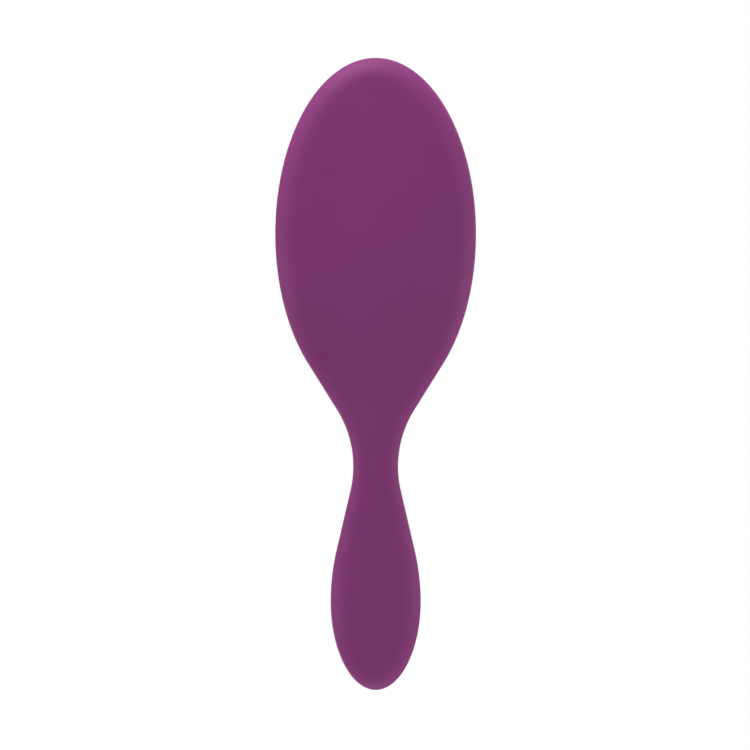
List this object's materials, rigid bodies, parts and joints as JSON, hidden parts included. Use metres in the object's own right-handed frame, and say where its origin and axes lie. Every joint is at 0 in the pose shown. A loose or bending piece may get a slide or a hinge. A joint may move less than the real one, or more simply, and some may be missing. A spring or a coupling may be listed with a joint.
{
  "type": "mane and tail brush",
  "caption": "Horse-grooming brush with an oval air-cushion head, ball-tipped pins, a waisted neck and a rounded soft-touch grip.",
  "frame": {"origin": "centre of the plan outline, on the surface that the flat back lies on", "axes": "+Y along the brush towards the head's tip, +Z the way the pins point, X across"},
  "size_m": [0.0706, 0.222, 0.04],
  "materials": {
    "soft_touch_shell": "plum soft-touch coat, matte",
    "cushion_rubber": "thin moulded rubber, satin",
    "pin_nylon": "plum moulded nylon, slight gloss",
    "tip_nylon": "dark plum dipped resin, glossy"
  },
  "bodies": {
    "body": {"back_shell": "soft_touch_shell", "front_shell": "soft_touch_shell", "cushion_seat": "soft_touch_shell", "frame_ring": "soft_touch_shell"},
    "cushion": {"cushion_pad": "cushion_rubber"},
    "file_1": {"pins_1": "pin_nylon", "tips_1": "tip_nylon"},
    "file_2": {"pins_2": "pin_nylon", "tips_2": "tip_nylon"},
    "file_3": {"pins_3": "pin_nylon", "tips_3": "tip_nylon"},
    "file_4": {"pins_4": "pin_nylon", "tips_4": "tip_nylon"},
    "file_5": {"pins_5": "pin_nylon", "tips_5": "tip_nylon"},
    "file_6": {"pins_6": "pin_nylon", "tips_6": "tip_nylon"},
    "file_7": {"pins_7": "pin_nylon", "tips_7": "tip_nylon"},
    "file_8": {"pins_8": "pin_nylon", "tips_8": "tip_nylon"}
  },
  "joints": [
    {"name": "cushion_press", "type": "slide", "parent": "body", "child": "cushion", "axis": [0, 0, -1], "range_m": [0, 0.003], "stiffness_N_per_m": 4000, "deforming": ["cushion_pad"]},
    {"name": "file_1_rock", "type": "hinge", "parent": "cushion", "child": "file_1", "pos_m": [-0.0224, 0.04925, 0.0172], "axis": [0, 1, 0], "range_deg": [-11.5, 11.5], "stiffness_Nm_per_rad": 0.09},
    {"name": "file_2_rock", "type": "hinge", "parent": "cushion", "child": "file_2", "pos_m": [-0.016, 0.04925, 0.0172], "axis": [0, 1, 0], "range_deg": [-11.5, 11.5], "stiffness_Nm_per_rad": 0.216},
    {"name": "file_3_rock", "type": "hinge", "parent": "cushion", "child": "file_3", "pos_m": [-0.0096, 0.04925, 0.0172], "axis": [0, 1, 0], "range_deg": [-11.5, 11.5], "stiffness_Nm_per_rad": 0.27},
    {"name": "file_4_rock", "type": "hinge", "parent": "cushion", "child": "file_4", "pos_m": [-0.0032, 0.04925, 0.0172], "axis": [0, 1, 0], "range_deg": [-11.5, 11.5], "stiffness_Nm_per_rad": 0.324},
    {"name": "file_5_rock", "type": "hinge", "parent": "cushion", "child": "file_5", "pos_m": [0.0032, 0.04925, 0.0172], "axis": [0, 1, 0], "range_deg": [-11.5, 11.5], "stiffness_Nm_per_rad": 0.306},
    {"name": "file_6_rock", "type": "hinge", "parent": "cushion", "child": "file_6", "pos_m": [0.0096, 0.04925, 0.0172], "axis": [0, 1, 0], "range_deg": [-11.5, 11.5], "stiffness_Nm_per_rad": 0.288},
    {"name": "file_7_rock", "type": "hinge", "parent": "cushion", "child": "file_7", "pos_m": [0.016, 0.04925, 0.0172], "axis": [0, 1, 0], "range_deg": [-11.5, 11.5], "stiffness_Nm_per_rad": 0.234},
    {"name": "file_8_rock", "type": "hinge", "parent": "cushion", "child": "file_8", "pos_m": [0.0224, 0.04925, 0.0172], "axis": [0, 1, 0], "range_deg": [-11.5, 11.5], "stiffness_Nm_per_rad": 0.072}
  ]
}
